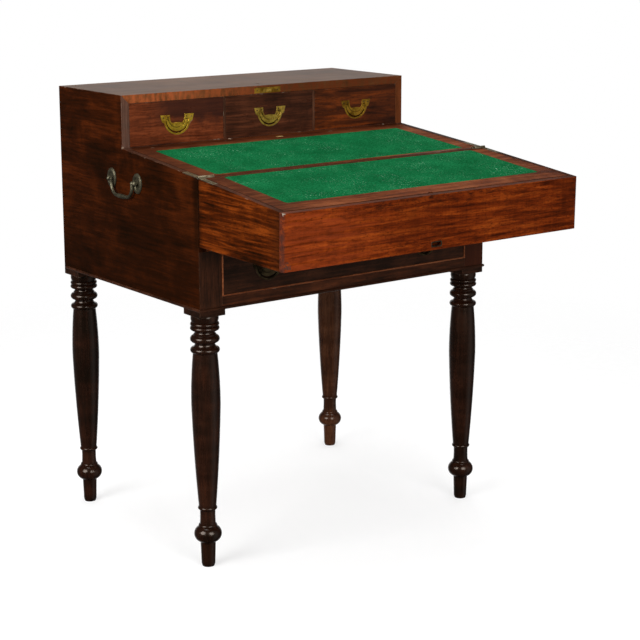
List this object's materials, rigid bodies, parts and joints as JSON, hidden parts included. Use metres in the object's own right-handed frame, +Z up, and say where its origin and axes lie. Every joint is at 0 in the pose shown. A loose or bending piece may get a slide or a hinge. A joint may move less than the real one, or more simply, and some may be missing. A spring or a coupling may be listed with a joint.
{
  "type": "campaign desk",
  "caption": "Portable writing desk on screwed turned legs, with a folding lid that opens to a sloped baize surface, drawers above and below, and end carrying handles.",
  "frame": {"origin": "on the floor, at the centre of the floor plan's bounding box with the lid open", "axes": "+Z up, +Y from the open lid to the back, +X to the right of a person who sits at the desk"},
  "size_m": [0.7774, 0.843, 0.95],
  "materials": {
    "mahogany": "polished, worn",
    "pine": "bare, aged",
    "brass": "tarnished",
    "bronze": "dark patina",
    "iron": "dull",
    "baize": "napped wool"
  },
  "bodies": {
    "case": {"left_side": "mahogany", "right_side": "mahogany", "top_board": "mahogany", "back_board": "pine", "bottom_board": "pine", "front_board": "mahogany", "front_stiles": "mahogany", "bottom_rail": "mahogany", "well_floor": "pine", "drawer_deck": "pine", "slope_rail": "mahogany", "drawer_dividers": "mahogany", "drawer_runners": "pine", "base_bead": "mahogany", "leg_blocks": "mahogany", "front_left_leg": "mahogany", "front_right_leg": "mahogany", "rear_left_leg": "mahogany", "rear_right_leg": "mahogany", "leg_studs": "iron", "carry_roses": "bronze", "lock_plate": "brass", "lock_case": "iron", "hinge_case_leaves": "brass", "hinge_pins": "brass", "rear_flap_pins": "brass"},
    "lid": {"lid_left_side": "mahogany", "lid_right_side": "mahogany", "lid_top_board": "mahogany", "lid_front_board": "mahogany", "lid_rear_board": "mahogany", "lid_strike": "brass", "hinge_lid_leaves": "brass", "lid_flap_pins": "brass"},
    "rear_flap_body": {"rear_flap": "mahogany", "rear_baize": "baize", "rear_lift_plate": "brass"},
    "lid_flap_body": {"lid_flap": "mahogany", "lid_baize": "baize"},
    "lock_bolt_body": {"lock_bolt": "brass"},
    "left_carry": {"left_carry_bail": "bronze"},
    "right_carry": {"right_carry_bail": "bronze"},
    "large_drawer": {"large_drawer_front": "mahogany", "large_drawer_box": "pine", "large_drawer_cockbead": "mahogany", "large_handle_plates": "brass"},
    "large_left_pull": {"large_left_bail": "brass"},
    "large_right_pull": {"large_right_bail": "brass"},
    "left_drawer": {"left_drawer_front": "mahogany", "left_drawer_box": "pine", "left_handle_plate": "brass"},
    "left_pull": {"left_handle_bail": "brass"},
    "middle_drawer": {"middle_drawer_front": "mahogany", "middle_drawer_box": "pine", "middle_handle_plate": "brass"},
    "middle_pull": {"middle_handle_bail": "brass"},
    "right_drawer": {"right_drawer_front": "mahogany", "right_drawer_box": "pine", "right_handle_plate": "brass"},
    "right_pull": {"right_handle_bail": "brass"}
  },
  "joints": [
    {"name": "lid_hinge", "type": "hinge", "parent": "case", "child": "lid", "pos_m": [0, -0.13551, 0.813], "axis": [1, 0, 0], "range_deg": [-181, 0]},
    {"name": "rear_flap_hinge", "type": "hinge", "parent": "case", "child": "rear_flap_body", "pos_m": [0, -0.12325, 0.81083], "axis": [1, 0, 0], "range_deg": [0, 80]},
    {"name": "lid_flap_hinge", "type": "hinge", "parent": "lid", "child": "lid_flap_body", "pos_m": [0, -0.14707, 0.80839], "axis": [-1, 0, 0], "range_deg": [0, 85]},
    {"name": "lock_bolt_slide", "type": "slide", "parent": "case", "child": "lock_bolt_body", "axis": [0, -1, 0], "range_m": [0, 0.008]},
    {"name": "left_carry_swing", "type": "hinge", "parent": "case", "child": "left_carry", "pos_m": [-0.3835, 0.14499, 0.7735], "axis": [0, 1, 0], "range_deg": [0, 100]},
    {"name": "right_carry_swing", "type": "hinge", "parent": "case", "child": "right_carry", "pos_m": [0.3835, 0.14499, 0.7735], "axis": [0, -1, 0], "range_deg": [0, 100]},
    {"name": "left_drawer_slide", "type": "slide", "parent": "case", "child": "left_drawer", "axis": [0, -1, 0], "range_m": [0, 0.2]},
    {"name": "left_pull_swing", "type": "hinge", "parent": "left_drawer", "child": "left_pull", "pos_m": [-0.23967, 0.15429, 0.89005], "axis": [-1, 0, 0], "range_deg": [0, 90]},
    {"name": "middle_drawer_slide", "type": "slide", "parent": "case", "child": "middle_drawer", "axis": [0, -1, 0], "range_m": [0, 0.2]},
    {"name": "middle_pull_swing", "type": "hinge", "parent": "middle_drawer", "child": "middle_pull", "pos_m": [0, 0.15429, 0.89005], "axis": [-1, 0, 0], "range_deg": [0, 90]},
    {"name": "right_drawer_slide", "type": "slide", "parent": "case", "child": "right_drawer", "axis": [0, -1, 0], "range_m": [0, 0.2]},
    {"name": "right_pull_swing", "type": "hinge", "parent": "right_drawer", "child": "right_pull", "pos_m": [0.23967, 0.15429, 0.89005], "axis": [-1, 0, 0], "range_deg": [0, 90]},
    {"name": "large_drawer_slide", "type": "slide", "parent": "case", "child": "large_drawer", "axis": [0, -1, 0], "range_m": [0, 0.36]},
    {"name": "large_left_pull_swing", "type": "hinge", "parent": "large_drawer", "child": "large_left_pull", "pos_m": [-0.208, -0.13371, 0.62005], "axis": [-1, 0, 0], "range_deg": [0, 90]},
    {"name": "large_right_pull_swing", "type": "hinge", "parent": "large_drawer", "child": "large_right_pull", "pos_m": [0.208, -0.13371, 0.62005], "axis": [-1, 0, 0], "range_deg": [0, 90]}
  ]
}
